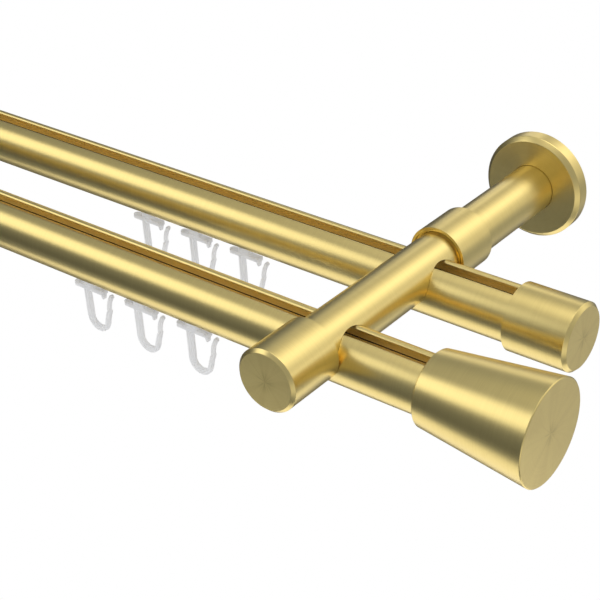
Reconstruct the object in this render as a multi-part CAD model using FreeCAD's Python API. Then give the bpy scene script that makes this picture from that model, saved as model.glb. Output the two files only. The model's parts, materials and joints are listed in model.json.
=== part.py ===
import FreeCAD, Part
import math
import os

os.makedirs("parts", exist_ok=True)

# Double curtain pole: two slotted inner-track rods, one in front of the other, on two wall
# brackets. Millimetres. X runs along the rods, the wall is the plane y = 0 and the pole stands
# off it towards -Y, +Z is up. The origin lies midway between the brackets, on their arms' axes.

Vector = FreeCAD.Vector
X_AXIS = Vector(1, 0, 0)
Y_AXIS = Vector(0, 1, 0)
Z_AXIS = Vector(0, 0, 1)

# Layout
rod_length = 600.0
bracket_inset = 54.0
end_socket_depth = 14.5
front_rod_reach = 130.0
rear_rod_reach = 80.0
rod_drop = 5.0

# Clearances
slip_gap = 0.1
rod_socket_gap = 0.15
thread_gap = 0.05
running_gap = 0.3
end_gap = 0.5

# Rod: a tube with a bracket slot on top, a web, and a glider track below it
rod_radius = 10.0
rod_wall = 1.0
top_slot_width = 6.7
track_slot_width = 6.0
web_top = 3.3
web_thickness = 1.2
web_rib_spread = 10.0
web_rib_width = 0.8
web_rib_height = 0.5
track_ledge = -7.4

# Wall plate
base_radius = 18.2
base_thickness = 4.0
base_boss_length = 12.0
screw_hole_radius = 2.5
screw_hole_spacing = 26.0
screw_head_radius = 4.2
cover_radius = 20.0
cover_thickness = 6.4
cover_wall = 1.3
cover_chamfer = 1.6

# Bracket tube, sleeve, arm and head cap
tube_radius = 9.0
tube_wall = 1.5
tube_overlap = 8.7
sleeve_radius = 11.0
sleeve_length = 18.6
sleeve_rear_chamfer = 0.6
sleeve_recess_depth = 2.5
sleeve_lip = 1.1
arm_radius = 9.0
arm_spigot_length = 16.0
head_radius = 11.0
head_length = 22.2
head_chamfer = 1.1

# Rod keys: turned studs that hang in the arms' crowns and hold the rods by their top slots
key_shank_radius = 2.95
key_socket_depth = 2.4
key_head_radius = 4.4
key_head_thickness = 2.2
key_head_gap = 0.35

# Grub screws
grub_radius = 2.0
grub_length = 1.7
finial_grub_length = 3.2
grub_socket_width = 2.0
grub_socket_depth = 1.0
grub_inset = 4.0

# Finials and end caps
finial_small_radius = 12.9
finial_large_radius = 17.5
finial_length = 40.4
finial_edge = 0.3
cap_radius = 12.0
cap_length = 23.5
cap_chamfer = 1.2

# Gliders
gliders_per_rod = 3
glider_pitch = 25.0
front_glider_inset = 60.25
rear_glider_inset = 79.4
runner_head_length = 10.0
runner_head_width = 8.6
runner_head_thickness = 2.4
runner_neck_length = 6.0
peg_width = 1.3
peg_length = 2.2
peg_gap = 0.05
post_length = 5.0
post_height = 3.8
bar_left_reach = 7.4
bar_right_reach = 7.2
bar_width = 2.4
bar_thickness = 1.2
nub_length = 1.9
nub_slant = 0.85
nub_tip_length = 0.6
nub_height = 2.0
nub_width = 1.8

# Hooks: a flat U under the bar with a rib along each side, its free arm leaning out and flared
hook_depth = 17.1
hook_stem_offset = 1.85
hook_span = 8.45
hook_stem_width = 2.8
hook_bend_width = 2.5
hook_free_width = 1.4
hook_thickness = 1.2
hook_rib_width = 0.9
hook_rib_thickness = 2.4
hook_lean = 18.0
hook_lean_height = 5.1
hook_flare_radius = 11.7
hook_flare_angle = 35.0

# Places worked out from the sizes above
bracket_x = rod_length / 2 - bracket_inset
end_piece_x = rod_length / 2 - end_socket_depth
rod_axes = {"front": -front_rod_reach, "rear": -rear_rod_reach}
rod_bore = rod_radius - rod_wall
web_bottom = web_top - web_thickness
saddle_radius = rod_radius + slip_gap
sleeve_front_y = -rear_rod_reach + saddle_radius
sleeve_rear_y = sleeve_front_y + sleeve_length
head_rear_y = -front_rod_reach - saddle_radius
tube_end_y = sleeve_rear_y - tube_overlap
arm_rear_y = tube_end_y - end_gap
arm_front_y = head_rear_y - arm_spigot_length
post_top = -rod_drop - rod_radius - running_gap
bar_top = post_top - post_height
bar_bottom = bar_top - bar_thickness
hook_top_z = bar_bottom + bar_thickness / 4
hook_outer_radius = (hook_span + (hook_stem_width + hook_free_width) / 2) / 2
hook_spring_z = bar_bottom - hook_depth + hook_outer_radius


def box(x, y, z):
    """A block from three (low, high) pairs."""
    corner = Vector(x[0], y[0], z[0])
    return Part.makeBox(x[1] - x[0], y[1] - y[0], z[1] - z[0], corner)


def rod_cylinder(radius, x_low, x_high, y, z):
    return Part.makeCylinder(radius, x_high - x_low, Vector(x_low, y, z), X_AXIS)


def turned(profile, centre, axis):
    """A solid of revolution. profile lists (distance along axis, radius) round its section."""
    side = Z_AXIS
    points = [centre + axis * along + side * radius for along, radius in profile]
    face = Part.Face(Part.makePolygon(points + points[:1]))
    return face.revolve(centre, axis, 360)


def stadium(length, width, low_z, high_z):
    """A block along X with half-round ends, centred on the Z axis."""
    radius = width / 2
    reach = length / 2 - radius
    height = high_z - low_z
    solid = box((-reach, reach), (-radius, radius), (low_z, high_z))
    for side in (-1, 1):
        end = Part.makeCylinder(radius, height, Vector(side * reach, 0, low_z))
        solid = solid.fuse(end)
    return solid.removeSplitter()


def save(name, shape):
    shape.exportStep("parts/" + name + ".step")


def rod(axis_y):
    half = rod_length / 2
    wide = (-2 * rod_radius, 2 * rod_radius)
    span = (-half, half)
    tube = rod_cylinder(rod_radius, -half, half, 0, 0)
    bore = rod_cylinder(rod_bore, -half, half, 0, 0)
    upper = bore.common(box(span, wide, (web_top, rod_radius)))
    track = bore.common(box(span, wide, (track_ledge, web_bottom)))
    top_slot = box(span, (-top_slot_width / 2, top_slot_width / 2), (web_top, 2 * rod_radius))
    track_slot = box(span, (-track_slot_width / 2, track_slot_width / 2), (-2 * rod_radius, web_bottom))
    solid = tube.cut([upper, track, top_slot, track_slot])
    for side in (-1, 1):
        middle = side * web_rib_spread / 2
        across = (middle - web_rib_width / 2, middle + web_rib_width / 2)
        rib = box(span, across, (web_top - web_thickness / 2, web_top + web_rib_height))
        solid = solid.fuse(rib)
    solid = solid.removeSplitter()
    solid.translate(Vector(0, axis_y, -rod_drop))
    return solid


def hex_socket(width, depth, mouth, inward):
    """The six-sided key recess of a grub screw, from its mouth inwards."""
    hexagon_radius = width / 3 ** 0.5
    across = X_AXIS if abs(inward.x) < 0.5 else Y_AXIS
    turn = FreeCAD.Rotation(inward, 60)
    points = [across * hexagon_radius]
    for _ in range(5):
        points.append(turn.multVec(points[-1]))
    points = [mouth + point for point in points]
    face = Part.Face(Part.makePolygon(points + points[:1]))
    return face.extrude(inward * depth)


def grub_screw(mouth, inward, length):
    screw = Part.makeCylinder(grub_radius, length, mouth, inward)
    return screw.cut(hex_socket(grub_socket_width, grub_socket_depth, mouth, inward))


def grub_hole(start, inward, length):
    return Part.makeCylinder(grub_radius + thread_gap, length, start, inward)


def wall_base(x):
    front = -base_thickness
    boss_radius = tube_radius - tube_wall - slip_gap
    disc = Part.makeCylinder(base_radius, base_thickness, Vector(x, 0, 0), -Y_AXIS)
    boss = Part.makeCylinder(boss_radius, base_boss_length, Vector(x, front, 0), -Y_AXIS)
    solid = disc.fuse(boss)
    head_depth = screw_head_radius - screw_hole_radius
    for side in (-1, 1):
        z = side * screw_hole_spacing / 2
        hole = Part.makeCylinder(screw_hole_radius, base_thickness, Vector(x, 0, z), -Y_AXIS)
        sink = Part.makeCone(screw_head_radius, screw_hole_radius, head_depth, Vector(x, front, z), Y_AXIS)
        solid = solid.cut([hole, sink])
    return solid


def wall_cover(x):
    pocket_radius = cover_radius - cover_wall
    hole_radius = tube_radius + slip_gap
    profile = [
        (0, pocket_radius),
        (0, cover_radius),
        (cover_thickness - cover_chamfer, cover_radius),
        (cover_thickness, cover_radius - cover_chamfer),
        (cover_thickness, hole_radius),
        (cover_thickness - cover_wall, hole_radius),
        (cover_thickness - cover_wall, pocket_radius),
    ]
    return turned(profile, Vector(x, 0, 0), -Y_AXIS)


def bracket_tube(x):
    start = Vector(x, -base_thickness, 0)
    length = -base_thickness - tube_end_y
    outer = Part.makeCylinder(tube_radius, length, start, -Y_AXIS)
    bore = Part.makeCylinder(tube_radius - tube_wall, length, start, -Y_AXIS)
    return outer.cut(bore)


def sleeve_screw_places():
    return [sleeve_rear_y - grub_inset, sleeve_front_y + sleeve_recess_depth + grub_inset]


def sleeve(x):
    bore = tube_radius + slip_gap
    recess = sleeve_radius - sleeve_lip
    profile = [
        (0, bore),
        (0, sleeve_radius - sleeve_rear_chamfer),
        (sleeve_rear_chamfer, sleeve_radius),
        (sleeve_length, sleeve_radius),
        (sleeve_length, recess),
        (sleeve_length - sleeve_recess_depth, recess),
        (sleeve_length - sleeve_recess_depth, bore),
    ]
    solid = turned(profile, Vector(x, sleeve_rear_y, 0), -Y_AXIS)
    for y in sleeve_screw_places():
        solid = solid.cut(grub_hole(Vector(x, y, -sleeve_radius), Z_AXIS, sleeve_radius))
    return solid


def sleeve_screws(x):
    mouth_z = -(tube_radius + slip_gap + grub_length)
    screws = []
    for y in sleeve_screw_places():
        screws.append(grub_screw(Vector(x, y, mouth_z), Z_AXIS, grub_length))
    return Part.makeCompound(screws)


def arm(x):
    length = arm_rear_y - arm_front_y
    solid = Part.makeCylinder(arm_radius, length, Vector(x, arm_rear_y, 0), -Y_AXIS)
    reach = 2 * arm_radius
    crown_z = saddle_radius - rod_drop
    for axis_y in rod_axes.values():
        saddle = rod_cylinder(saddle_radius, x - reach, x + reach, axis_y, -rod_drop)
        socket = Part.makeCylinder(
            key_shank_radius + thread_gap, crown_z + key_socket_depth, Vector(x, axis_y, 0)
        )
        solid = solid.cut([saddle, socket])
    return solid


def rod_key(x, axis_y):
    """A stud whose head lies under the rod's slot lips and whose shank is held in the arm."""
    lip_z = (rod_bore ** 2 - key_head_radius ** 2) ** 0.5
    head_top = lip_z - key_head_gap - rod_drop
    head_bottom = head_top - key_head_thickness
    shank_top = saddle_radius - rod_drop + key_socket_depth - slip_gap
    profile = [
        (head_bottom, 0),
        (head_bottom, key_head_radius),
        (head_top, key_head_radius),
        (head_top, key_shank_radius),
        (shank_top, key_shank_radius),
        (shank_top, 0),
    ]
    points = [Vector(x + radius, axis_y, z) for z, radius in profile]
    face = Part.Face(Part.makePolygon(points + points[:1]))
    return face.revolve(Vector(x, axis_y, 0), Z_AXIS, 360)


def head_screw_y():
    return head_rear_y - grub_inset


def head_cap(x):
    bore = arm_radius + slip_gap
    bore_depth = arm_spigot_length + end_gap
    profile = [
        (0, bore),
        (0, head_radius),
        (head_length - head_chamfer, head_radius),
        (head_length, head_radius - head_chamfer),
        (head_length, 0),
        (bore_depth, 0),
        (bore_depth, bore),
    ]
    solid = turned(profile, Vector(x, head_rear_y, 0), -Y_AXIS)
    hole = grub_hole(Vector(x, head_screw_y(), -head_radius), Z_AXIS, head_radius)
    return solid.cut(hole)


def head_screw(x):
    mouth_z = -(arm_radius + slip_gap + grub_length)
    return grub_screw(Vector(x, head_screw_y(), mouth_z), Z_AXIS, grub_length)


def end_piece(side, axis_y, profile):
    """A turned finial or cap that fits over a rod's end, with a grub hole at its back."""
    bore = rod_radius + rod_socket_gap
    depth = end_socket_depth + end_gap
    ring = [(0, bore)] + profile + [(depth, 0), (depth, bore)]
    centre = Vector(side * end_piece_x, axis_y, -rod_drop)
    solid = turned(ring, centre, X_AXIS * side)
    start = end_screw_start(side, axis_y)
    return solid.cut(grub_hole(start, Y_AXIS, 2 * finial_large_radius))


def end_screw_start(side, axis_y):
    x = side * (end_piece_x + grub_inset)
    return Vector(x, axis_y + rod_radius + thread_gap, -rod_drop)


def end_screw(side, axis_y, length):
    mouth = end_screw_start(side, axis_y) + Y_AXIS * length
    return grub_screw(mouth, -Y_AXIS, length)


def finial(side):
    profile = [
        (0, finial_small_radius - finial_edge),
        (finial_edge, finial_small_radius),
        (finial_length - finial_edge, finial_large_radius),
        (finial_length, finial_large_radius - finial_edge),
        (finial_length, 0),
    ]
    return end_piece(side, rod_axes["front"], profile)


def end_cap(side):
    profile = [
        (0, cap_radius),
        (cap_length - cap_chamfer, cap_radius),
        (cap_length, cap_radius - cap_chamfer),
        (cap_length, 0),
    ]
    return end_piece(side, rod_axes["rear"], profile)


def runner():
    """The part of a glider inside the rod: head on the ledges, neck in the slot, peg below."""
    head_low = track_ledge + running_gap - rod_drop
    head_high = head_low + runner_head_thickness
    neck_half = track_slot_width / 2 - running_gap
    reach = runner_neck_length / 2
    head = stadium(runner_head_length, runner_head_width, head_low, head_high)
    neck = box((-reach, reach), (-neck_half, neck_half), (post_top, head_low))
    peg = square_peg(peg_width, peg_length, post_top)
    return head.fuse([neck, peg]).removeSplitter()


def square_peg(width, length, top):
    half = width / 2
    return box((-half, half), (-half, half), (top - length, top))


def outline_face(start, moves):
    """A face in the XZ plane. Each move is (end) for a line or (through, end) for an arc."""
    edges = []
    here = Vector(start[0], 0, start[1])
    for move in moves:
        points = [Vector(x, 0, z) for x, z in move]
        if len(points) == 1:
            edges.append(Part.makeLine(here, points[0]))
        else:
            edges.append(Part.Arc(here, points[0], points[1]).toShape())
        here = points[-1]
    return Part.Face(Part.Wire(edges))


def slab(face, thickness):
    """A face in the XZ plane thickened evenly to both sides of it."""
    solid = face.extrude(Y_AXIS * thickness)
    solid.translate(Y_AXIS * (-thickness / 2))
    return solid


def flare_point(degrees, offset):
    """A point of the free arm's flared end, at an offset to the mouth's side of its middle line."""
    knee_x = hook_span - hook_stem_offset + hook_lean_height * math.tan(math.radians(hook_lean))
    radius = hook_flare_radius + offset
    angle = math.radians(degrees)
    x = knee_x + hook_flare_radius - radius * math.cos(angle)
    return x, hook_spring_z + hook_lean_height + radius * math.sin(angle)


def hook_moves(stem_width, bend_width, free_width, top_moves):
    """The U's outline from the stem's outer top: down, round, up the free arm and back inside."""
    stem_outer = -hook_stem_offset - stem_width / 2
    stem_inner = stem_outer + stem_width
    free_outer = hook_span - hook_stem_offset + free_width / 2
    free_inner = free_outer - free_width
    bend_outer = bar_bottom - hook_depth + (hook_bend_width - bend_width) / 2
    moves = [
        [(stem_outer, hook_spring_z)],
        [((stem_outer + free_outer) / 2, bend_outer), (free_outer, hook_spring_z)],
        [flare_point(0, -free_width / 2)],
    ]
    moves += top_moves
    moves += [
        [(free_inner, hook_spring_z)],
        [((stem_inner + free_inner) / 2, bend_outer + bend_width), (stem_inner, hook_spring_z)],
        [(stem_inner, hook_top_z)],
        [(stem_outer, hook_top_z)],
    ]
    return moves


def hook_band():
    """The flat U with its flared and rounded tip."""
    outer = -hook_free_width / 2
    inner = hook_free_width / 2
    middle = hook_flare_angle / 2
    end_x, end_z = flare_point(hook_flare_angle, 0)
    heading = math.radians(hook_flare_angle)
    tip = (end_x + inner * math.sin(heading), end_z + inner * math.cos(heading))
    top_moves = [
        [flare_point(middle, outer), flare_point(hook_flare_angle, outer)],
        [tip, flare_point(hook_flare_angle, inner)],
        [flare_point(middle, inner), flare_point(0, inner)],
    ]
    moves = hook_moves(hook_stem_width, hook_bend_width, hook_free_width, top_moves)
    return slab(outline_face(moves[-1][0], moves), hook_thickness)


def hook_rib():
    """The narrow strip that stiffens both sides of the U up to the flare."""
    width = hook_rib_width
    moves = hook_moves(width, width, width, [[flare_point(0, width / 2)]])
    return slab(outline_face(moves[-1][0], moves), hook_rib_thickness)


def nub():
    """The small prong under the bar's end that closes the hook's mouth."""
    left = bar_right_reach - nub_length
    tip_left = left + nub_slant
    tip_z = bar_bottom - nub_height
    moves = [
        [(left, bar_bottom)],
        [(tip_left, tip_z)],
        [(tip_left + nub_tip_length, tip_z)],
        [(bar_right_reach, bar_bottom)],
        [(bar_right_reach, hook_top_z)],
        [(left, hook_top_z)],
    ]
    return slab(outline_face(moves[-1][0], moves), nub_width)


def hook_bar():
    """The thin bar under the rod, round at the stem's end, with the post that carries it."""
    half = bar_width / 2
    round_x = half - bar_left_reach
    bar = box((round_x, bar_right_reach), (-half, half), (bar_bottom, bar_top))
    end = Part.makeCylinder(half, bar_thickness, Vector(round_x, 0, bar_bottom))
    post = box((-post_length / 2, post_length / 2), (-half, half), (bar_bottom, post_top))
    return bar.fuse([end, post])


def hook():
    socket = square_peg(peg_width + 2 * peg_gap, peg_length + peg_gap, post_top)
    return hook_bar().fuse([hook_band(), hook_rib(), nub()]).cut(socket).removeSplitter()


def glider_places(inset):
    """The gliders' X positions on one rod, from left to right."""
    nearest = bracket_x - inset
    return [nearest - glider_pitch * step for step in reversed(range(gliders_per_rod))]


def save_brackets():
    for side, name in ((-1, "left_"), (1, "right_")):
        x = side * bracket_x
        save(name + "wall_base", wall_base(x))
        save(name + "wall_cover", wall_cover(x))
        save(name + "bracket_tube", bracket_tube(x))
        save(name + "sleeve", sleeve(x))
        save(name + "sleeve_screws", sleeve_screws(x))
        save(name + "arm", arm(x))
        save(name + "head_cap", head_cap(x))
        save(name + "head_cap_screw", head_screw(x))
        for rod_name, axis_y in rod_axes.items():
            save(name + rod_name + "_rod_key", rod_key(x, axis_y))


def save_rods():
    for rod_name, axis_y in rod_axes.items():
        save(rod_name + "_rod", rod(axis_y))
    for side, name in ((-1, "left_"), (1, "right_")):
        save(name + "finial", finial(side))
        save(name + "finial_screw", end_screw(side, rod_axes["front"], finial_grub_length))
        save(name + "end_cap", end_cap(side))
        save(name + "end_cap_screw", end_screw(side, rod_axes["rear"], grub_length))


def save_gliders():
    insets = {"front": front_glider_inset, "rear": rear_glider_inset}
    runner_solid = runner()
    hook_solid = hook()
    for rod_name, axis_y in rod_axes.items():
        for number, x in enumerate(glider_places(insets[rod_name]), start=1):
            for part_name, solid in (("_runner_", runner_solid), ("_hook_", hook_solid)):
                placed = solid.copy()
                placed.translate(Vector(x, axis_y, 0))
                save(rod_name + part_name + str(number), placed)


save_brackets()
save_rods()
save_gliders()
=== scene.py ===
import json
import math

import bpy
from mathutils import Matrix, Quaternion, Vector

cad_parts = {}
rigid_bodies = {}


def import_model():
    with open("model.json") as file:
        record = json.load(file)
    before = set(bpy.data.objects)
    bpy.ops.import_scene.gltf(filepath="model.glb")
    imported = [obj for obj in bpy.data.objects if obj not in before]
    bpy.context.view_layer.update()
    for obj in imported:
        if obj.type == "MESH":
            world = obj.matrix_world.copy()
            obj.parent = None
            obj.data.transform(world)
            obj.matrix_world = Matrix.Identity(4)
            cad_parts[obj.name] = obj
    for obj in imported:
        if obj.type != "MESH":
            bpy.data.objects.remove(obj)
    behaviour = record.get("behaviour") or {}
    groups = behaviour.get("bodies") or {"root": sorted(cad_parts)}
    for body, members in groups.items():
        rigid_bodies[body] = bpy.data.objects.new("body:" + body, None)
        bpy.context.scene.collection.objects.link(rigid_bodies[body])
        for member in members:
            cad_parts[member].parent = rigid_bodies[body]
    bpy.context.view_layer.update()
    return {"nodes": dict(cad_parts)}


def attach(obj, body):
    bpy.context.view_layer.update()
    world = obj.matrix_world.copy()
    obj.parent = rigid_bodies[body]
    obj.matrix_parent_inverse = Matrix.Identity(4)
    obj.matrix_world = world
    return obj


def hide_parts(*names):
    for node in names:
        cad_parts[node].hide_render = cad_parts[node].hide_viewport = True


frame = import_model()

# Double curtain pole in metres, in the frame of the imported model: X runs along the rods, the wall
# is the plane y = 0 and the pole stands off it towards -Y, +Z is up.

MM = 0.001
X_AXIS = Vector((1, 0, 0))
Y_AXIS = Vector((0, 1, 0))
Z_AXIS = Vector((0, 0, 1))
SIDES = (("left", -1), ("right", 1))
GLIDERS = (1, 2, 3)

TURNED_STEPS = 128
ARM_STEPS = 160
KEY_HOLE_STEPS = 48
FINE_STEPS = 32
SMOOTH_ANGLE = math.radians(32)
MERGE_DISTANCE = 0.002 * MM


# Sizes, in millimetres, from the part's own plan. A profile lists (distance along the axis, radius)
# and is drawn from ring to ring.

ROD_LENGTH = 600.0
ROD_RADIUS = 10.0
ROD_BORE = 9.0
ROD_Z = -5.0
ROD_Y = {"front": -130.0, "rear": -80.0}
BRACKET_X = 246.0
END_PIECE_X = 285.5
TOP_SLOT = 5.0
KEY_HOLE = 3.0
TRACK_SLOT = 6.0
WEB_TOP = 3.3
WEB_BOTTOM = 2.1
WEB_GROOVES = ((4.0, 4.45), (5.45, 6.05))
WEB_GROOVE_DEPTH = 0.8
WEB_GROOVE_MARGIN = 0.3
TRACK_LEDGE = -7.4
PAST_ROD_END = 5.0
CUT_OVERLAP = 0.01
ROD_EDGE = 0.1

# The lips at the top slot are rounded by bars of this width and height, one at each tilt in
# degrees, that touch a circle of this radius and centre (y, z).
LIP_CUTTER = (3.8, 3.0)
LIP_TILTS = (45, 30, 15, 0, -12)
LIP_ROUND = 0.89
LIP_CENTRE = (3.41, 8.45)

FINIAL_PROFILE = [(0, 10.15), (0, 12.6), (0.3, 12.9), (40.1, 17.5), (40.4, 17.2), (40.4, 0)]
END_CAP_PROFILE = [(0, 10.15), (0, 12.0), (22.3, 12.0), (23.5, 10.8), (23.5, 0)]
END_PIECE_BORE = (10.15, 15.0)
END_PIECE_SCREW = (4.0, 13.0)
FINIAL_EDGE = 0.12
END_CAP_EDGE = 0.14

HEAD_CAP_Y = -140.1
HEAD_CAP_PROFILE = [(0, 9.1), (0, 11.0), (21.1, 11.0), (22.2, 9.9), (22.2, 0)]
HEAD_CAP_BORE = (9.1, 16.5)
HEAD_CAP_SCREWS = (4.0,)
HEAD_CAP_EDGE = 0.14

SLEEVE_Y = -51.3
SLEEVE_PROFILE = [
    (0, 9.1), (0, 10.4), (0.6, 11.0), (18.6, 11.0),
    (18.6, 9.9), (17.7, 9.9), (17.7, 9.1), (0, 9.1),
]
SLEEVE_SCREWS = (4.0, 12.1)
SLEEVE_EDGE = 0.2

COVER_PROFILE = [
    (0, 18.7), (0, 20.0), (4.8, 20.0), (6.4, 18.4),
    (6.4, 9.1), (5.1, 9.1), (5.1, 18.7), (0, 18.7),
]
COVER_EDGE = 0.16

ARM_RADIUS = 9.0
ARM_ENDS = (-156.1, -60.5)
SADDLE_RADIUS = 10.1
SADDLE_LENGTH = 40.0
ARM_KEY_HOLE_LENGTH = 7.5
ARM_KEY_HOLE_Z = 3.75

GRUB_HOLE = 2.05
GRUB_HOLE_LENGTH = 10.0
SCREWED_RADIUS = 11.0

# The hook, with its middle at x = 0 and the rod's middle line at y = 0. Two corners give each
# block, and each edge of the bend has a middle (x, z), a radius and the angle it starts late by.
HOOK_POST = ((-2.55, -1.22, -20.2), (2.55, 1.22, -15.3))
HOOK_BAR = ((-7.43, -1.5, -20.33), (7.23, 1.5, -18.65))
HOOK_BAR_ROUND = 1.45
HOOK_PRONG = ((5.3, -0.92, -22.35), (7.23, 0.92, -19.6))
PRONG_TAPER = (0.36, 0.9, 1.0)
PRONG_TAPER_MIDDLE = (6.58, 0, -22.35)
PRONG_TAPER_BELOW = -21.0
HOOK_STEM_X = (-3.25, -0.45)
HOOK_STEM_Z = (-19.7, -28.0)
HOOK_BEND_OUTER = ((2.025, -32.125), 5.275, 0.0)
HOOK_BEND_INNER = ((2.725, -31.696), 3.204, 0.134)
HOOK_BEND_STEPS = 16
HOOK_ARM_X = (8.957, 7.557)
HOOK_ARM_Z = -27.025
HOOK_FLARE_X = 19.957
HOOK_FLARE_RADII = (11.0, 12.4)
HOOK_FLARE_END = math.radians(145)
HOOK_FLARE_STEPS = 6
HOOK_TIP = (10.30, 0, -20.42)
HOOK_TIP_RADIUS = 0.78
HOOK_TIP_LENGTH = 1.5
HOOK_BAND_THICKNESS = 1.3
HOOK_RIB_WIDTH = 1.0
HOOK_RIB_THICKNESS = 2.5
HOOK_GRAIN = 0.16

GLIDER_PITCH = 25.0
LAST_GLIDER = {"front": 185.75, "rear": 166.6}


# Modelling

def deselect():
    bpy.ops.object.select_all(action="DESELECT")


def mm(*values):
    return Vector(values) * MM


def edit(mode="VERT"):
    bpy.ops.object.mode_set(mode="EDIT")
    bpy.ops.mesh.select_mode(type=mode)
    bpy.ops.mesh.select_all(action="SELECT")


def leave_edit():
    bpy.ops.object.mode_set(mode="OBJECT")


def alone(piece):
    """Selects one piece and nothing else."""
    deselect()
    piece.select_set(True)
    bpy.context.view_layer.objects.active = piece


def settle(piece):
    """Puts the piece's place, turn and size into its mesh."""
    alone(piece)
    bpy.ops.object.transform_apply(location=True, rotation=True, scale=True)


def modify(piece, kind, **settings):
    alone(piece)
    bpy.ops.object.modifier_add(type=kind)
    modifier = piece.modifiers[-1]
    for name, value in settings.items():
        setattr(modifier, name, value)
    bpy.ops.object.modifier_apply(modifier=modifier.name)


def join(pieces):
    """Makes one piece of several; a single piece stays as it is."""
    if len(pieces) > 1:
        deselect()
        for piece in pieces:
            piece.select_set(True)
        bpy.context.view_layer.objects.active = pieces[0]
        bpy.ops.object.join()
    return pieces[0]


def pick_nothing(piece, mode="VERT"):
    """Leaves nothing selected within the piece, in this select mode."""
    alone(piece)
    edit(mode)
    bpy.ops.mesh.select_all(action="DESELECT")
    leave_edit()


def pick_points(piece, wanted):
    """Enters edit mode with those points selected that pass the test."""
    pick_nothing(piece)
    for vertex in piece.data.vertices:
        vertex.select = wanted(vertex.co)
    bpy.ops.object.mode_set(mode="EDIT")


def pick_edges(piece, wanted):
    """Enters edit mode with those edges selected whose two ends pass the test."""
    pick_nothing(piece, "EDGE")
    points = [vertex.co for vertex in piece.data.vertices]
    for edge in piece.data.edges:
        edge.select = wanted(*(points[number] for number in edge.vertices))
    bpy.ops.object.mode_set(mode="EDIT")


def close_up(piece):
    """Merges doubled points and turns every face outwards."""
    alone(piece)
    edit()
    bpy.ops.mesh.remove_doubles(threshold=MERGE_DISTANCE)
    bpy.ops.mesh.normals_make_consistent(inside=False)
    leave_edit()


def cut(piece, cutter):
    """Takes the cutter's shape out of the piece and removes the cutter."""
    modify(piece, "BOOLEAN", operation="DIFFERENCE", solver="EXACT", object=cutter)
    bpy.data.objects.remove(cutter)


def soften(piece, width):
    """Breaks the sharp edges and smooths the round sides, as a polished part has them."""
    modify(
        piece, "BEVEL", limit_method="ANGLE", angle_limit=SMOOTH_ANGLE, width=width * MM,
        segments=2, use_clamp_overlap=True, miter_outer="MITER_ARC")
    alone(piece)
    bpy.ops.object.shade_smooth_by_angle(angle=SMOOTH_ANGLE)
    modify(piece, "WEIGHTED_NORMAL", keep_sharp=True)


def rod_stock(radius, length, middle, axis, steps=TURNED_STEPS):
    """A round bar along an axis, its radius, length and middle in millimetres."""
    deselect()
    turn = Z_AXIS.rotation_difference(axis).to_euler()
    bpy.ops.mesh.primitive_cylinder_add(
        vertices=steps, radius=radius * MM, depth=length * MM,
        location=middle * MM, rotation=turn)
    piece = bpy.context.object
    settle(piece)
    return piece


def block(low, high):
    """A square bar between two corners, in millimetres."""
    deselect()
    low, high = Vector(low), Vector(high)
    bpy.ops.mesh.primitive_cube_add(
        size=1, location=(low + high) / 2 * MM, scale=(high - low) * MM)
    piece = bpy.context.object
    settle(piece)
    return piece


def turned(profiles, centre, axis):
    """A part turned round an axis, whose profiles are closed up into one."""
    turn = Z_AXIS.rotation_difference(axis).to_euler()
    shells = []
    for profile in profiles:
        deselect()
        here, radius = profile[0]
        bpy.ops.mesh.primitive_circle_add(
            vertices=TURNED_STEPS, radius=radius * MM,
            location=(centre + axis * here) * MM, rotation=turn)
        edit()
        for there, next_radius in profile[1:]:
            step = axis * (there - here) * MM
            bpy.ops.mesh.extrude_edges_move(TRANSFORM_OT_translate={"value": step})
            if next_radius == 0:
                bpy.ops.mesh.merge(type="CENTER")
            elif next_radius != radius:
                size = next_radius / radius
                middle = (centre + axis * there) * MM
                bpy.ops.transform.resize(value=(size, size, size), center_override=middle)
            here, radius = there, next_radius
        leave_edit()
        settle(bpy.context.object)
        shells.append(bpy.context.object)
    piece = join(shells)
    close_up(piece)
    return piece


def finished(piece, name, node, material):
    """Names a piece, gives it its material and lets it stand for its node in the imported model."""
    body = frame["nodes"][node].parent.name.split(":", 1)[1]
    piece.name = name
    piece.data.name = name
    piece.data.materials.clear()
    piece.data.materials.append(material)
    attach(piece, body)
    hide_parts(node)


def rod_hollow(over, low, high):
    """The rod's bore, cut flat at those of the two heights that lie within it."""
    hollow = rod_stock(ROD_BORE, 2 * over, Vector((0, 0, 0)), X_AXIS)
    for height, normal in ((low, -Z_AXIS), (high, Z_AXIS)):
        if abs(height) < ROD_BORE:
            alone(hollow)
            edit()
            bpy.ops.mesh.bisect(
                plane_co=mm(0, 0, height), plane_no=normal, use_fill=True, clear_outer=True)
            leave_edit()
    return hollow


def lip_cutter(over, side, tilt):
    """A bar whose underside lies against one slope of the rounded lip at the top slot's side."""
    slope_y = LIP_CENTRE[0] - LIP_ROUND * math.sin(tilt)
    slope_z = LIP_CENTRE[1] + LIP_ROUND * math.cos(tilt)
    width, height = LIP_CUTTER
    cutter = block((-over, -width / 2, 0), (over, width / 2, height))
    alone(cutter)
    edit()
    bpy.ops.transform.rotate(value=-side * tilt, orient_axis="X", center_override=(0, 0, 0))
    bpy.ops.transform.translate(value=mm(0, side * slope_y, slope_z))
    leave_edit()
    return cutter


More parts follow.
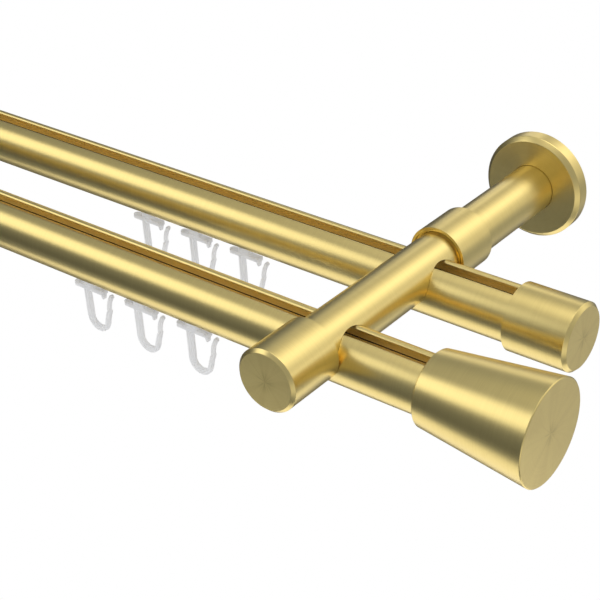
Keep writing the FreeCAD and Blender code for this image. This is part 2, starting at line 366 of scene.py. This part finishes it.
def slotted_rod(axis_y):
    """A tube with a slot along its top, a web across it and a track for the gliders below.

    It is made round the X axis, on which over is half the length of every cutter, and then moved.
    """
    piece = rod_stock(ROD_RADIUS, ROD_LENGTH, Vector((0, 0, 0)), X_AXIS)
    over = ROD_LENGTH / 2 + PAST_ROD_END
    for low, high in ((WEB_TOP, ROD_RADIUS), (TRACK_LEDGE, WEB_BOTTOM)):
        cut(piece, rod_hollow(over, low, high))
    for width, low, high in (
            (TOP_SLOT, WEB_TOP + CUT_OVERLAP, 2 * ROD_RADIUS),
            (TRACK_SLOT, -2 * ROD_RADIUS, WEB_BOTTOM - CUT_OVERLAP)):
        cut(piece, block((-over, -width / 2, low), (over, width / 2, high)))
    for side in (-1, 1):
        for tilt in LIP_TILTS:
            cut(piece, lip_cutter(over, side, math.radians(tilt)))
    for x in (-BRACKET_X, BRACKET_X):
        middle = Vector((x, 0, ROD_RADIUS))
        cut(piece, rod_stock(KEY_HOLE, ROD_RADIUS, middle, Z_AXIS, KEY_HOLE_STEPS))
    bottom, top = WEB_TOP - WEB_GROOVE_DEPTH, WEB_TOP + WEB_GROOVE_MARGIN
    for side in (-1, 1):
        for near, far in WEB_GROOVES:
            low, high = sorted((side * near, side * far))
            cut(piece, block((-over, low, bottom), (over, high, top)))
    alone(piece)
    edit()
    bpy.ops.transform.translate(value=mm(0, axis_y, ROD_Z))
    leave_edit()
    soften(piece, ROD_EDGE)
    return piece


def blind_bore(bore, depth):
    """The profile of a cap's blind hole, from its mouth to the middle of its floor."""
    return [(0, bore), (depth, bore), (depth, 0)]


def end_piece(side, axis_y, profile, edge):
    """A piece pushed over a rod's end, with the hole of its grub screw at the back."""
    centre = Vector((side * END_PIECE_X, axis_y, ROD_Z))
    piece = turned([profile, blind_bore(*END_PIECE_BORE)], centre, X_AXIS * side)
    along, behind = END_PIECE_SCREW
    middle = centre + Vector((side * along, behind, 0))
    cut(piece, rod_stock(GRUB_HOLE, GRUB_HOLE_LENGTH, middle, Y_AXIS, FINE_STEPS))
    soften(piece, edge)
    return piece


def finial(side):
    return end_piece(side, ROD_Y["front"], FINIAL_PROFILE, FINIAL_EDGE)


def end_cap(side):
    return end_piece(side, ROD_Y["rear"], END_CAP_PROFILE, END_CAP_EDGE)


def screwed_below(profiles, centre, screws, edge):
    """A turned piece round a bracket's axis, with the holes of its grub screws in its underside."""
    piece = turned(profiles, centre, -Y_AXIS)
    for along in screws:
        middle = centre + Vector((0, -along, -SCREWED_RADIUS))
        cut(piece, rod_stock(GRUB_HOLE, GRUB_HOLE_LENGTH, middle, Z_AXIS, FINE_STEPS))
    soften(piece, edge)
    return piece


def head_cap(x):
    profiles = [HEAD_CAP_PROFILE, blind_bore(*HEAD_CAP_BORE)]
    return screwed_below(profiles, Vector((x, HEAD_CAP_Y, 0)), HEAD_CAP_SCREWS, HEAD_CAP_EDGE)


def sleeve(x):
    return screwed_below([SLEEVE_PROFILE], Vector((x, SLEEVE_Y, 0)), SLEEVE_SCREWS, SLEEVE_EDGE)


def wall_cover(x):
    piece = turned([COVER_PROFILE], Vector((x, 0, 0)), -Y_AXIS)
    soften(piece, COVER_EDGE)
    return piece


def arm(x):
    """The bracket's bar, with a saddle and a key's hole for each rod."""
    front, rear = ARM_ENDS
    middle = Vector((x, (front + rear) / 2, 0))
    piece = rod_stock(ARM_RADIUS, rear - front, middle, Y_AXIS, ARM_STEPS)
    for axis_y in ROD_Y.values():
        saddle = Vector((x, axis_y, ROD_Z))
        cut(piece, rod_stock(SADDLE_RADIUS, SADDLE_LENGTH, saddle, X_AXIS, ARM_STEPS))
        hole = Vector((x, axis_y, ARM_KEY_HOLE_Z))
        cut(piece, rod_stock(KEY_HOLE, ARM_KEY_HOLE_LENGTH, hole, Z_AXIS, KEY_HOLE_STEPS))
    alone(piece)
    bpy.ops.object.shade_smooth_by_angle(angle=SMOOTH_ANGLE)
    return piece


def strip(stations, thickness):
    """A flat strip in the XZ plane from one pair of edge points to the next, thickened along Y."""
    deselect()
    pairs = [(Vector(a), Vector(b)) for a, b in stations]
    middles = [(a + b) / 2 for a, b in pairs]
    lengths = [(b - a).length for a, b in pairs]
    turns = [math.atan2((b - a).y, (b - a).x) for a, b in pairs]

    def spot(point):
        return mm(point.x, 0, point.y)

    bpy.ops.mesh.primitive_plane_add(size=lengths[0] * MM)
    piece = bpy.context.object
    pick_points(piece, lambda point: point.y > 0)
    bpy.ops.mesh.delete(type="VERT")
    bpy.ops.mesh.select_all(action="SELECT")
    bpy.ops.transform.translate(value=spot(middles[0]) + mm(0, lengths[0] / 2, 0))
    bpy.ops.transform.rotate(value=turns[0], orient_axis="Y", center_override=spot(middles[0]))
    for number in range(1, len(pairs)):
        step = spot(middles[number]) - spot(middles[number - 1])
        bpy.ops.mesh.extrude_edges_move(TRANSFORM_OT_translate={"value": step})
        turn = (turns[number] - turns[number - 1] + math.pi) % (2 * math.pi) - math.pi
        here = spot(middles[number])
        bpy.ops.transform.rotate(value=turn, orient_axis="Y", center_override=here)
        size = lengths[number] / lengths[number - 1]
        bpy.ops.transform.resize(value=(size, size, size), center_override=here)
    bpy.ops.mesh.select_all(action="SELECT")
    bpy.ops.transform.translate(value=mm(0, -thickness / 2, 0))
    bpy.ops.mesh.extrude_region_move(TRANSFORM_OT_translate={"value": mm(0, thickness, 0)})
    leave_edit()
    close_up(piece)
    return piece


def around(middle, radius, start, end, steps):
    """Points along an arc, from one angle to another."""
    angles = [start + (end - start) * number / steps for number in range(steps + 1)]
    return [(middle[0] + radius * math.cos(a), middle[1] + radius * math.sin(a)) for a in angles]


def hook_stations():
    """Pairs of points on the hook's outer and inner edge: stem, bend, free arm and flared tip."""
    outer_x, inner_x = HOOK_STEM_X
    pairs = [((outer_x, z), (inner_x, z)) for z in HOOK_STEM_Z]
    outer, inner = (
        around(middle, radius, math.pi + start, 2 * math.pi - start, HOOK_BEND_STEPS)
        for middle, radius, start in (HOOK_BEND_OUTER, HOOK_BEND_INNER))
    pairs += zip(outer, inner)
    outer_x, inner_x = HOOK_ARM_X
    pairs += [((outer_x, HOOK_ARM_Z), (inner_x, HOOK_ARM_Z))]
    flare_middle = (HOOK_FLARE_X, HOOK_ARM_Z)
    outer, inner = (
        around(flare_middle, radius, math.pi, HOOK_FLARE_END, HOOK_FLARE_STEPS)
        for radius in HOOK_FLARE_RADII)
    pairs += list(zip(outer, inner))[1:]
    return pairs


def narrowed(pairs, width):
    """The same row of stations, each at one width about its middle."""
    rows = []
    for outer, inner in pairs:
        outer, inner = Vector(outer), Vector(inner)
        middle = (outer + inner) / 2
        half = (inner - outer).normalized() * width / 2
        rows.append((middle - half, middle + half))
    return rows


def glider_hook():
    """A moulded hook: post and thin bar, flat U with a raised rib, and a prong at its mouth."""
    post = block(*HOOK_POST)
    bar = block(*HOOK_BAR)
    pick_edges(bar, lambda a, b: abs(a.z - b.z) > MM and a.x < 0)
    bpy.ops.mesh.bevel(offset=HOOK_BAR_ROUND * MM, segments=8, affect="EDGES")
    leave_edit()
    stations = hook_stations()
    band = strip(stations, HOOK_BAND_THICKNESS)
    below_flare = stations[:-HOOK_FLARE_STEPS]
    rib = strip(narrowed(below_flare, HOOK_RIB_WIDTH), HOOK_RIB_THICKNESS)
    prong = block(*HOOK_PRONG)
    pick_points(prong, lambda point: point.z < PRONG_TAPER_BELOW * MM)
    bpy.ops.transform.resize(value=PRONG_TAPER, center_override=mm(*PRONG_TAPER_MIDDLE))
    leave_edit()
    tip = rod_stock(HOOK_TIP_RADIUS, HOOK_TIP_LENGTH, Vector(HOOK_TIP), Y_AXIS, FINE_STEPS)
    piece = join([bar, post, band, rib, prong, tip])
    modify(piece, "REMESH", mode="VOXEL", voxel_size=HOOK_GRAIN * MM, use_smooth_shade=True)
    modify(piece, "SMOOTH", factor=0.5, iterations=4)
    return piece


def copied(piece, x, y):
    """A copy with a mesh of its own, which is moved to this place, in millimetres."""
    alone(piece)
    bpy.ops.object.duplicate()
    copy = bpy.context.object
    edit()
    bpy.ops.transform.translate(value=mm(x, y, 0))
    leave_edit()
    return copy


# Materials

class Socket:
    """A node's output used in arithmetic; each operator adds the Math node it stands for."""

    def __init__(self, shader, output):
        self.shader = shader
        self.output = output

    def maths(self, operation, *values):
        return self.shader.maths(operation, *values)

    def __add__(self, other):
        return self.maths("ADD", self, other)

    def __radd__(self, other):
        return self.maths("ADD", other, self)

    def __sub__(self, other):
        return self.maths("SUBTRACT", self, other)

    def __rsub__(self, other):
        return self.maths("SUBTRACT", other, self)

    def __mul__(self, other):
        return self.maths("MULTIPLY", self, other)

    def __rmul__(self, other):
        return self.maths("MULTIPLY", other, self)

    def __truediv__(self, other):
        return self.maths("DIVIDE", self, other)

    def __pow__(self, other):
        return self.maths("POWER", self, other)

    def size(self):
        return self.maths("ABSOLUTE", self)

    def beside(self, name):
        """Another output of the same node."""
        return Socket(self.shader, self.output.node.outputs[name])

    def step(self, low, high):
        """0 below low, 1 above high, and smooth between them."""
        settings = {"interpolation_type": "SMOOTHSTEP"}
        values = {"Value": self, "From Min": low, "From Max": high}
        return self.shader.node("ShaderNodeMapRange", settings, values)


class Shader:
    """One node tree. Each of its nodes is given its settings first and then its sockets."""

    def __init__(self, tree):
        self.tree = tree
        tree.nodes.clear()

    def node(self, kind, settings=None, values=(), output=0):
        made = self.tree.nodes.new(kind)
        for name, value in (settings or {}).items():
            setattr(made, name, value)
        rows = values.items() if isinstance(values, dict) else enumerate(values)
        for key, value in rows:
            if isinstance(value, Socket):
                self.tree.links.new(value.output, made.inputs[key])
            else:
                made.inputs[key].default_value = value
        if made.outputs:
            return Socket(self, made.outputs[output])
        return None

    def maths(self, operation, *values):
        return self.node("ShaderNodeMath", {"operation": operation}, values)

    def mix_colour(self, factor, first, second):
        settings = {"data_type": "RGBA"}
        values = {0: factor, 6: first, 7: second}
        return self.node("ShaderNodeMix", settings, values, output=2)

    def split(self, vector):
        x = self.node("ShaderNodeSeparateXYZ", None, (vector,))
        return x, x.beside("Y"), x.beside("Z")

    def ray_is(self, *kinds):
        """1 for rays of these kinds and 0 for others."""
        path = self.node("ShaderNodeLightPath")
        seen = path.beside("Is %s Ray" % kinds[0])
        for kind in kinds[1:]:
            seen = path.maths("MAXIMUM", seen, path.beside("Is %s Ray" % kind))
        return seen

    def join(self, x, y, z):
        return self.node("ShaderNodeCombineXYZ", None, (x, y, z))

    def noise(self, vector, scale, detail, roughness):
        values = {"Vector": vector, "Scale": scale, "Detail": detail, "Roughness": roughness}
        return self.node("ShaderNodeTexNoise", None, values)

    def bump(self, height, strength, distance):
        values = {"Strength": strength, "Distance": distance, "Height": height}
        return self.node("ShaderNodeBump", None, values)

    def surface(self, **values):
        named = {name.replace("_", " "): value for name, value in values.items()}
        shader = self.node("ShaderNodeBsdfPrincipled", None, named)
        self.finish(shader)

    def finish(self, shader):
        self.node("ShaderNodeOutputMaterial", None, {"Surface": shader})


def new_material(name):
    material = bpy.data.materials.new(name)
    material.use_nodes = True
    return material, Shader(material.node_tree)


def colour(red, green, blue):
    return (red, green, blue, 1.0)


WHITE = colour(1, 1, 1)
BRASS_SHADES = (colour(0.86, 0.665, 0.245), colour(0.985, 0.79, 0.305))
# painted glint: the darker colour of the star-shaped sectors painted near a face's middle
BRASS_PAINTED_GLINT = colour(0.5, 0.38, 0.13)
BRASS_IN_BORE = colour(1.0, 0.83, 0.38)
# painted shade: the dark colour painted into the web's grooves
BRASS_PAINTED_GROOVE_SHADE = colour(0.14, 0.08, 0.02)
STEEL_SHADES = (colour(0.50, 0.51, 0.52), colour(0.66, 0.66, 0.67))
PLASTIC_SHADES = (colour(0.83, 0.835, 0.85), colour(0.89, 0.895, 0.905))
PLASTIC_GLOW = 0.4

# How close-set the brass's marks and its painted glint rays are, per metre: round the axis, then
# along it or outwards from it. The painted glint rays' first number is per turn.
SIDE_LINES = (60.0, 2600.0)
SIDE_GRAIN = (260.0, 5200.0)
FACE_RINGS = (30.0, 3200.0)
FACE_GLINT_RAYS = (2.4, 40.0)

# Where each mask rises from 0 to 1: in metres from the axis or from the edge that it belongs to,
# but for a face by how squarely it faces along the axis, and for the painted glint rays by their
# noise.
FACE_RISE = (0.93, 0.98)
GLINT_RAYS_RISE = (0.35, 0.65)
GLINT_STAR_RISE = (0.0004, 0.005)
BORE_RISE = (0.0001, 0.0004)
GROOVE_BOTTOM_RISE = (0.0, 0.0002)
GROOVE_TOP_RISE = (-0.00006, -0.00002)

# Added to the distance from the axis, by which the painted glint rays divide
OFF_AXIS = 0.00005


def turned_brass(name, axis, centre, bore=None, groove=None):
    """Satin brass turned round an axis: fine marks round its sides, rings and painted glint on its
    faces.

    Within the bore the metal is duller, as a drawn tube is inside, and from the groove's bottom to
    its top it is painted dark, as painted shade. Bore and groove are in metres, the groove's two
    heights from the centre.
    """
    material, shader = new_material(name)
    place = shader.node("ShaderNodeTexCoord", None, (), output="Object")
    place = shader.node("ShaderNodeVectorMath", {"operation": "SUBTRACT"}, (place, centre))
    normal = shader.node("ShaderNodeTexCoord", None, (), output="Normal")
    x, y, z = shader.split(place)
    normal_x, normal_y = shader.split(normal)[:2]
    along, across = (x, y) if axis == "X" else (y, x)
    facing = (normal_x if axis == "X" else normal_y).size()
    face = facing.step(*FACE_RISE)
    radius = (across * across + z * z) ** 0.5 + OFF_AXIS

    def marks(frequencies, travel, detail, roughness):
        """Noise drawn out round the axis, close-set in the direction of travel."""
        round_axis, with_travel = frequencies
        drawn = shader.join(across * round_axis, z * round_axis, travel * with_travel)
        return shader.noise(drawn, 1.0, detail, roughness)

    side_lines = marks(SIDE_LINES, along, detail=3.0, roughness=0.7)
    side_grain = marks(SIDE_GRAIN, along, detail=2.0, roughness=0.6)
    rings = marks(FACE_RINGS, radius, detail=2.0, roughness=0.6)
    # painted glint: radial streaks of lighter and darker colour on the faces stand in for a turned
    # face's highlight
    turn, outwards = FACE_GLINT_RAYS
    glint_ray_place = shader.join(across / radius * turn, z / radius * turn, radius * outwards)
    glint_rays = shader.noise(glint_ray_place, 1.0, detail=2.0, roughness=0.6).step(*GLINT_RAYS_RISE)

    side = 1.0 - face
    # grain and turning marks, with the faces' painted glint streaks mixed in
    grain_and_glints = side_lines * side + (rings * 0.6 + glint_rays * 0.4) * face
    # painted glint: dark sectors between the streaks near a face's middle, a star-shaped highlight
    # painted in
    painted_glint_star = (1.0 - glint_rays) * (1.0 - radius.step(*GLINT_STAR_RISE)) * face * 0.5
    height = side_grain * side * 0.15 + rings * face
    shade = shader.mix_colour(grain_and_glints, *BRASS_SHADES)
    shade = shader.mix_colour(painted_glint_star, shade, BRASS_PAINTED_GLINT)
    roughness = 0.275 + face * 0.01 + grain_and_glints * 0.05
    metallic = 1.0
    if bore is not None:
        inside = 1.0 - radius.step(*(bore + reach for reach in BORE_RISE))
        bottom, top = groove
        above_bottom = z.step(*(bottom + reach for reach in GROOVE_BOTTOM_RISE))
        above_top = z.step(*(top + reach for reach in GROOVE_TOP_RISE))
        # painted shade: the web's grooves are painted dark, where shade falls in them
        painted_groove_shade = above_bottom * (1.0 - above_top) * inside
        shade = shader.mix_colour(inside, shade, BRASS_IN_BORE)
        shade = shader.mix_colour(painted_groove_shade, shade, BRASS_PAINTED_GROOVE_SHADE)
        roughness = roughness + inside * 0.15
        metallic = 1.0 - inside * 0.35
    bump = shader.bump(height, strength=0.5, distance=0.00003)
    shader.surface(Base_Color=shade, Metallic=metallic, Roughness=roughness, Normal=bump)
    return material


def steel(name):
    material, shader = new_material(name)
    place = shader.node("ShaderNodeTexCoord", None, (), output="Object")
    grain = shader.noise(place, 900.0, detail=3.0, roughness=0.6)
    shade = shader.mix_colour(grain, *STEEL_SHADES)
    bump = shader.bump(grain, strength=0.2, distance=0.00005)
    shader.surface(Base_Color=shade, Metallic=1.0, Roughness=0.28 + grain * 0.12, Normal=bump)
    return material


def hook_plastic(name):
    material, shader = new_material(name)
    place = shader.node("ShaderNodeTexCoord", None, (), output="Object")
    clouds = shader.noise(place, 160.0, detail=2.0, roughness=0.5)
    shade = shader.mix_colour(clouds, *PLASTIC_SHADES)
    grain = shader.noise(place, 1400.0, detail=2.0, roughness=0.5)
    bump = shader.bump(grain, strength=0.1, distance=0.00005)
    values = {
        "Base Color": shade, "Roughness": 0.34 + clouds * 0.1, "Normal": bump,
        "Subsurface Weight": 1.0, "Subsurface Radius": (1.0, 1.0, 1.0), "Subsurface Scale": 0.003,
    }
    solid = shader.node("ShaderNodeBsdfPrincipled", None, values)
    glow_through = shader.node("ShaderNodeBsdfTranslucent", None, {"Color": shade})
    shader.finish(shader.node("ShaderNodeMixShader", None, (PLASTIC_GLOW, solid, glow_through)))
    return material


def give(node, material):
    """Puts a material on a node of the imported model."""
    for slot in frame["nodes"][node].material_slots:
        slot.material = material


steel_metal = steel("grub screw steel")
plate_metal = steel("wall plate steel")
plastic = hook_plastic("hook plastic")

groove = ((WEB_TOP - WEB_GROOVE_DEPTH - WEB_GROOVE_MARGIN) * MM, WEB_TOP * MM)
for rod, end, shape in (("front", "finial", finial), ("rear", "end_cap", end_cap)):
    axis_y = ROD_Y[rod]
    centre = mm(0, axis_y, ROD_Z)
    rod_metal = turned_brass(rod + " rod brass", "X", centre, ROD_BORE * MM, groove)
    metal = turned_brass(rod + " end piece brass", "X", centre)
    finished(slotted_rod(axis_y), rod + "_slotted_rod", rod + "_rod", rod_metal)
    for side, sign in SIDES:
        finished(shape(sign), side + "_turned_" + end, side + "_" + end, metal)
        give(side + "_" + end + "_screw", steel_metal)
        give(side + "_" + rod + "_rod_key", steel_metal)

for side, sign in SIDES:
    x = sign * BRACKET_X
    metal = turned_brass(side + " bracket brass", "Y", mm(x, 0, 0))
    finished(wall_cover(x), side + "_turned_cover", side + "_wall_cover", metal)
    finished(sleeve(x), side + "_turned_sleeve", side + "_sleeve", metal)
    finished(arm(x), side + "_saddled_arm", side + "_arm", metal)
    finished(head_cap(x), side + "_turned_head_cap", side + "_head_cap", metal)
    give(side + "_bracket_tube", metal)
    give(side + "_wall_base", plate_metal)
    give(side + "_sleeve_screws", steel_metal)
    give(side + "_head_cap_screw", steel_metal)

master_hook = glider_hook()
for rod in ROD_Y:
    for number in GLIDERS:
        x = LAST_GLIDER[rod] - GLIDER_PITCH * (len(GLIDERS) - number)
        hook_node = "%s_hook_%d" % (rod, number)
        hook = copied(master_hook, x, ROD_Y[rod])
        finished(hook, "%s_moulded_hook_%d" % (rod, number), hook_node, plastic)
        give("%s_runner_%d" % (rod, number), plastic)
bpy.data.objects.remove(master_hook)


# Studio

# The floor is a disc cut to a strip: azimuth and distance of each cut
FLOOR_PLACE = (0.15, 0, -1.5)
FLOOR_RADIUS = 1.9
FLOOR_CUTS = ((-36, 0.5), (147, 0.71))
FLOOR_COLOUR = colour(0.85, 0.85, 0.85)
FLOOR_GLOW = 0.3

# What the metal reflects of the room: a level that rises to the right, to the front and upwards
WALL_LEVEL = 0.19
WALL_RISE = (0.13, -0.03, 0.15)
WALL_DARKEST = 0.06
COOL_DARKS = colour(0.95, 1.07, 1.35)
COOL_BELOW = (0.1, 0.6)
DIFFUSE_LEVEL = 0.9

# and soft bright patches: elevation, azimuth, spread, strength
ROOM_LIGHTS = (
    (87, 98, 36, 2.35),
    (33, 22, 56, 0.63),
    (39, 22, 24, 0.68),
    (11, 52, 9, 1.3),
    (12, -36, 9, 1.3),
    (26, -30, 11, 1.2),
    (-26, 120, 30, 0.7),
    (-36, 28, 28, 0.36),
    (-38, -132, 17, 0.28),
)


def direction(elevation, azimuth):
    """A unit vector into the room; azimuth 0 is +Y, where the wall is, and 90 is +X."""
    up, turn = math.radians(elevation), math.radians(azimuth)
    return Vector((math.sin(turn) * math.cos(up), math.cos(turn) * math.cos(up), math.sin(up)))


def floor_material():
    """Pale floor: it takes light and shadow, and reads white to the camera and in the metal."""
    material, shader = new_material("pale floor")
    seen = shader.ray_is("Camera", "Glossy", "Transmission")
    values = {"Color": WHITE, "Strength": seen * FLOOR_GLOW}
    glow = shader.node("ShaderNodeEmission", None, values)
    diffuse = shader.node("ShaderNodeBsdfDiffuse", None, {"Color": FLOOR_COLOUR})
    shader.finish(shader.node("ShaderNodeAddShader", None, (diffuse, glow)))
    return material


deselect()
bpy.ops.mesh.primitive_circle_add(
    vertices=96, radius=FLOOR_RADIUS, fill_type="NGON", location=FLOOR_PLACE)
floor = bpy.context.object
settle(floor)
for azimuth, reach in FLOOR_CUTS:
    away = direction(0, azimuth)
    edit()
    bpy.ops.mesh.bisect(plane_co=away * reach, plane_no=away, clear_outer=True)
    leave_edit()
floor.name = "studio_floor"
floor.data.materials.append(floor_material())


def soft_lamp(name, elevation, azimuth, spread, radiance):
    """A round soft light, far off, as bright as radiance over a spread of so many degrees."""
    lamp = bpy.data.lights.new(name, "SUN")
    lamp.angle = math.radians(spread)
    lamp.energy = radiance * math.pi * math.sin(lamp.angle / 2) ** 2
    placed = bpy.data.objects.new(name, lamp)
    bpy.context.collection.objects.link(placed)
    placed.rotation_euler = direction(elevation, azimuth).to_track_quat("Z", "Y").to_euler()


soft_lamp("left front softbox", elevation=30, azimuth=-128, spread=33, radiance=1.3)


def room_light(room, look, elevation, azimuth, spread, strength):
    """A patch that fades out softly and has half its strength at the edge of its spread."""
    sharpness = math.log(2) / (1 - math.cos(math.radians(spread / 2)))
    vectors = (look, direction(elevation, azimuth))
    towards = room.node("ShaderNodeVectorMath", {"operation": "DOT_PRODUCT"}, vectors, output=1)
    return room.maths("EXPONENT", (towards - 1.0) * sharpness) * strength


world = bpy.data.worlds.new("studio")
bpy.context.scene.world = world
world.use_nodes = True
room = Shader(world.node_tree)
look = room.node("ShaderNodeTexCoord", None, (), output="Generated")
walls = WALL_LEVEL
for part, rise in zip(room.split(look), WALL_RISE):
    walls = walls + part * rise
walls = room.maths("MAXIMUM", walls, WALL_DARKEST)
for light in ROOM_LIGHTS:
    walls = walls + room_light(room, look, *light)
seen_direct = room.ray_is("Camera", "Transmission")
seen_glossy = room.ray_is("Glossy") * (1.0 - seen_direct)
level = seen_direct + seen_glossy * walls + (1.0 - seen_direct - seen_glossy) * DIFFUSE_LEVEL
tint = room.mix_colour(level.step(*COOL_BELOW), COOL_DARKS, WHITE)
sky = room.node("ShaderNodeBackground", None, {"Color": tint, "Strength": level})
room.node("ShaderNodeOutputWorld", None, {"Surface": sky})


# Camera: the photograph's viewing angle, from the front, the right and above

CAMERA_PLACE = Vector((0.47272, -0.41235, 0.23123))
CAMERA_AZIMUTH = 35.904
CAMERA_ELEVATION = 34.533
CAMERA_ROLL = -0.714
FOCAL_LENGTH = 81.75
SENSOR_WIDTH = 36.0
LENS_SHIFT = (-0.1477, 0.1330)

lens = bpy.data.cameras.new("camera")
lens.lens = FOCAL_LENGTH
lens.sensor_width = SENSOR_WIDTH
lens.shift_x, lens.shift_y = LENS_SHIFT
lens.clip_start = 0.01
lens.clip_end = 50.0
camera = bpy.data.objects.new("camera", lens)
bpy.context.collection.objects.link(camera)
back = direction(CAMERA_ELEVATION, 180 - CAMERA_AZIMUTH)
camera.rotation_mode = "QUATERNION"
level_view = (-back).to_track_quat("-Z", "Y")
camera.rotation_quaternion = level_view @ Quaternion(Z_AXIS, math.radians(CAMERA_ROLL))
camera.location = CAMERA_PLACE
bpy.context.scene.camera = camera
bpy.context.scene.view_settings.view_transform = "Standard"
